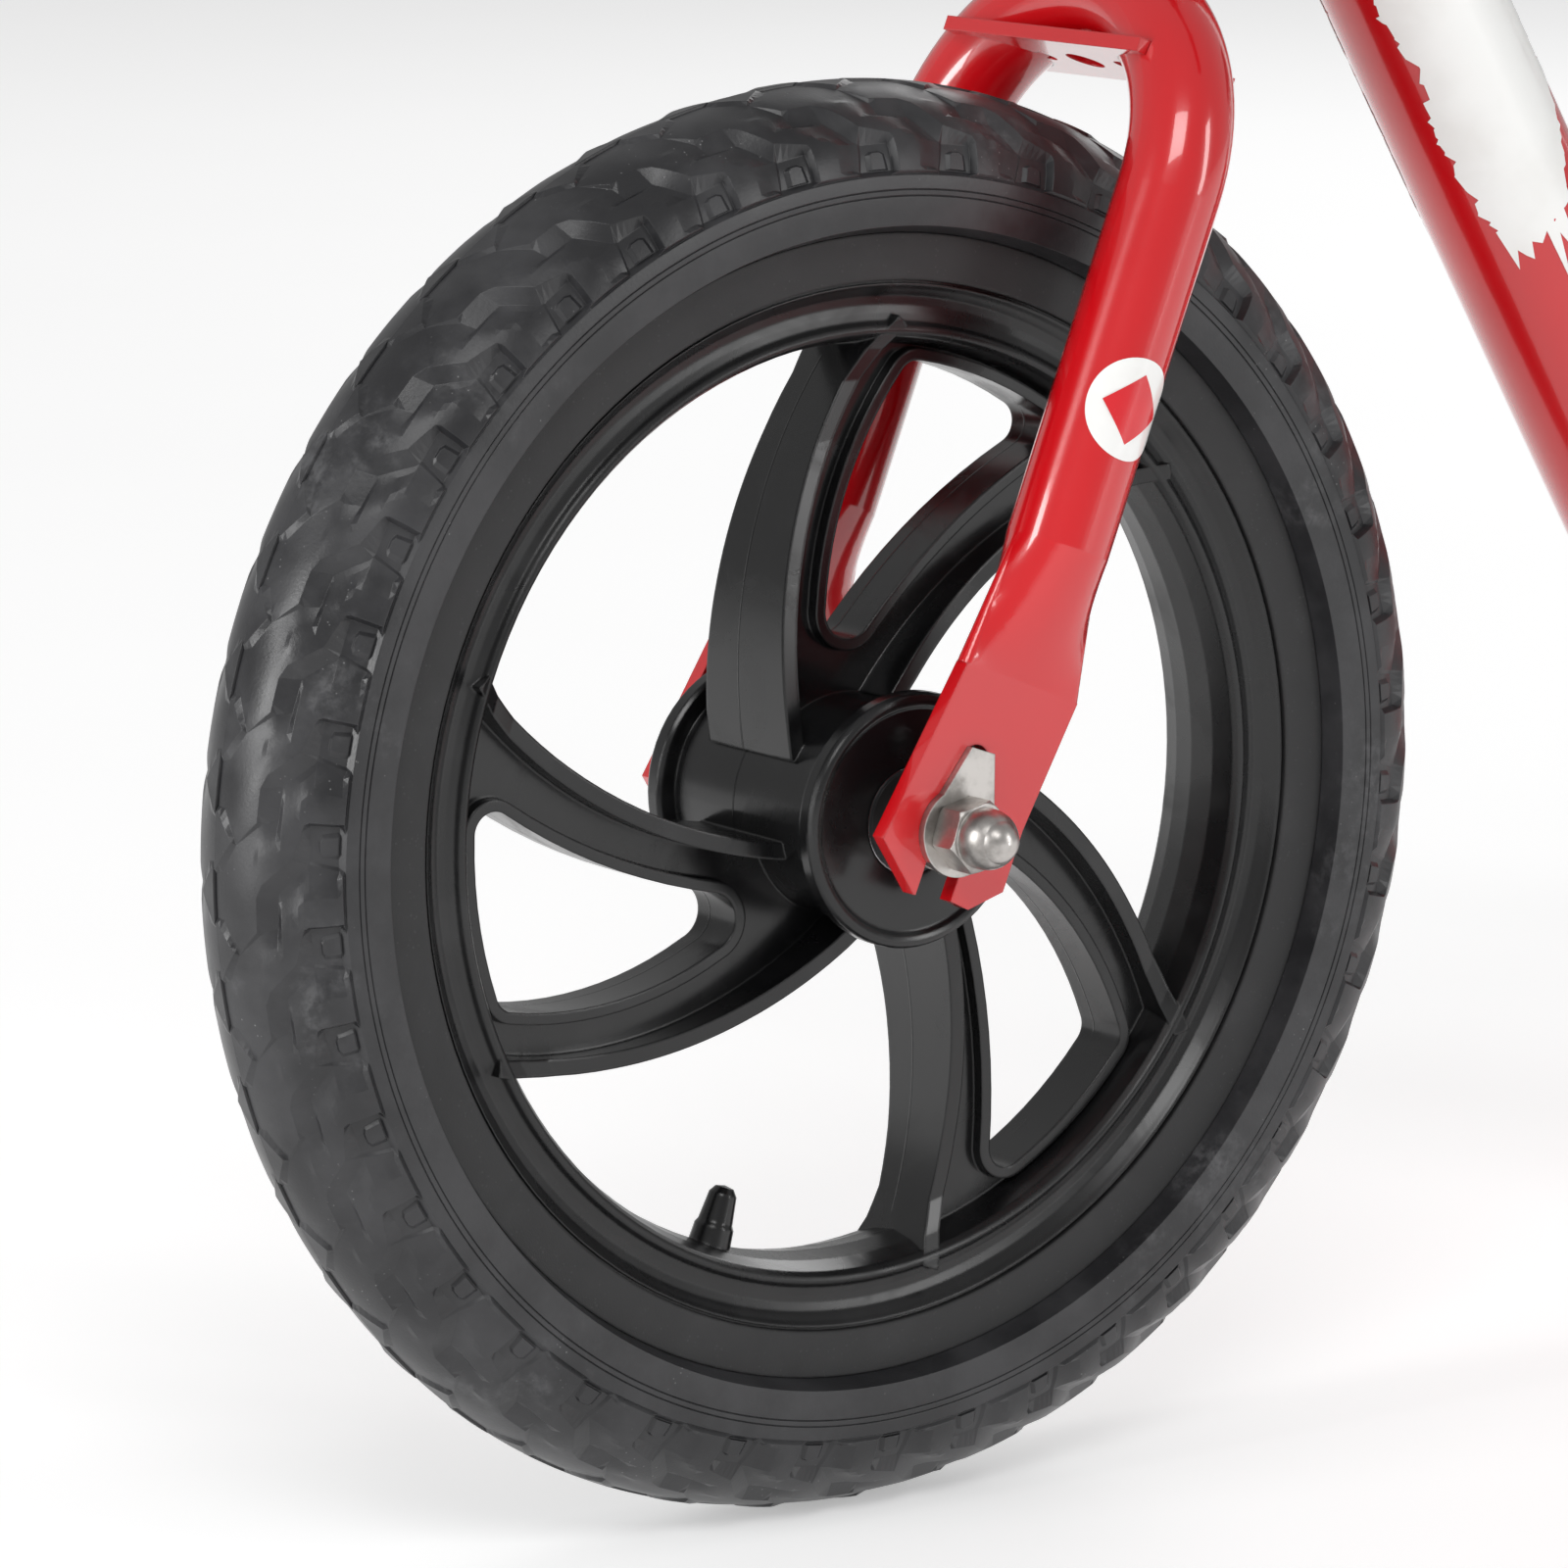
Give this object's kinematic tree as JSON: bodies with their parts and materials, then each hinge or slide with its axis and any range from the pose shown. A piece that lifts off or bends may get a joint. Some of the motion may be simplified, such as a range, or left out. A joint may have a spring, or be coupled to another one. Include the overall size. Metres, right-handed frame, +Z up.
{
  "type": "balance bike",
  "caption": "Child's two-wheeled balance bike without pedals: bent-tube steel frame, foam tyres on moulded spoked wheels, adjustable saddle and handlebar.",
  "frame": {"origin": "on the ground, midway between the two wheels, in the bike's middle plane", "axes": "+X points forwards, +Y to the rider's left, +Z up"},
  "size_m": [0.8499, 0.4192, 0.5897],
  "materials": {
    "tyre_foam": "matte, moulded tread",
    "black_plastic": "moulded nylon, semi gloss",
    "bearing_steel": "ground",
    "zinc_steel": "zinc plated",
    "seal_rubber": "matte",
    "red_paint": "gloss enamel on steel",
    "chrome_steel": "chrome plated",
    "black_paint": "satin black on steel",
    "alloy": "satin",
    "grip_rubber": "ribbed, matte",
    "saddle_base": "moulded",
    "saddle_skin": "artificial leather over foam"
  },
  "bodies": {
    "frame": {"head_tube": "red_paint", "main_tube": "red_paint", "seat_tube": "red_paint", "left_chain_stay": "red_paint", "right_chain_stay": "red_paint", "left_seat_stay": "red_paint", "right_seat_stay": "red_paint", "rear_dropouts": "red_paint", "lower_head_cup": "chrome_steel", "upper_head_cup": "chrome_steel", "seat_collar": "alloy", "seat_skewer": "zinc_steel", "seat_skewer_nut": "alloy", "seat_lever_pin": "zinc_steel", "rear_axle": "zinc_steel", "rear_axle_sleeve": "zinc_steel", "rear_axle_spacers": "zinc_steel", "rear_tab_washers": "zinc_steel", "rear_cap_nuts": "zinc_steel", "rear_bearing_inner_rings": "bearing_steel", "rear_bearing_balls": "bearing_steel"},
    "fork": {"fork_blades": "red_paint", "fork_crown_plate": "red_paint", "fork_steerer": "zinc_steel", "crown_race": "chrome_steel", "lower_head_balls": "bearing_steel", "upper_head_balls": "bearing_steel", "upper_head_cone": "chrome_steel", "head_key_washer": "chrome_steel", "head_locknut": "chrome_steel", "front_axle": "zinc_steel", "front_axle_sleeve": "zinc_steel", "front_axle_spacers": "zinc_steel", "front_tab_washers": "zinc_steel", "front_cap_nuts": "zinc_steel", "front_bearing_inner_rings": "bearing_steel", "front_bearing_balls": "bearing_steel"},
    "front_wheel": {"front_tyre": "tyre_foam", "front_wheel_casting": "black_plastic", "front_bearing_outer_rings": "bearing_steel", "front_bearing_seals": "seal_rubber"},
    "rear_wheel": {"rear_tyre": "tyre_foam", "rear_wheel_casting": "black_plastic", "rear_bearing_outer_rings": "bearing_steel", "rear_bearing_seals": "seal_rubber"},
    "stem": {"stem": "black_paint", "stem_wedge": "alloy", "stem_expander_bolt": "zinc_steel", "stem_faceplate": "black_paint", "stem_faceplate_bolts": "zinc_steel"},
    "handlebar": {"handlebar": "black_paint", "left_grip": "grip_rubber", "right_grip": "grip_rubber"},
    "seat_post": {"seat_post": "chrome_steel"},
    "saddle_clamp": {"saddle_clamp": "zinc_steel", "saddle_bolt_and_nut": "zinc_steel"},
    "saddle": {"saddle_rails": "black_paint", "saddle_shell": "saddle_base", "saddle_cover": "saddle_skin"},
    "seat_lever": {"seat_lever": "alloy"}
  },
  "joints": [
    {"name": "steering", "type": "hinge", "parent": "frame", "child": "fork", "pos_m": [0.27535, 0, 0.14315], "axis": [-0.3697, 0, 0.9291], "continuous": true},
    {"name": "front_wheel_spin", "type": "hinge", "parent": "fork", "child": "front_wheel", "pos_m": [0.28, 0, 0.145], "axis": [0, 1, 0], "continuous": true},
    {"name": "rear_wheel_spin", "type": "hinge", "parent": "frame", "child": "rear_wheel", "pos_m": [-0.28, 0, 0.145], "axis": [0, 1, 0], "continuous": true},
    {"name": "stem_height", "type": "slide", "parent": "fork", "child": "stem", "axis": [-0.3697, 0, 0.9291], "range_m": [0, 0.03]},
    {"name": "handlebar_tilt", "type": "hinge", "parent": "stem", "child": "handlebar", "pos_m": [0.17867, 0, 0.49429], "axis": [0, 1, 0], "range_deg": [-25, 25]},
    {"name": "seat_height", "type": "slide", "parent": "frame", "child": "seat_post", "axis": [-0.309, 0, 0.9511], "range_m": [-0.03, 0.03]},
    {"name": "saddle_tilt", "type": "hinge", "parent": "seat_post", "child": "saddle_clamp", "pos_m": [-0.12442, 0, 0.31011], "axis": [0, 1, 0], "range_deg": [-10, 10]},
    {"name": "saddle_slide", "type": "slide", "parent": "saddle_clamp", "child": "saddle", "axis": [1, 0, 0], "range_m": [-0.012, 0.012]},
    {"name": "seat_lever_swing", "type": "hinge", "parent": "frame", "child": "seat_lever", "pos_m": [-0.12774, 0.017, 0.24752], "axis": [-0.309, 0, 0.9511], "range_deg": [0, 110]}
  ]
}
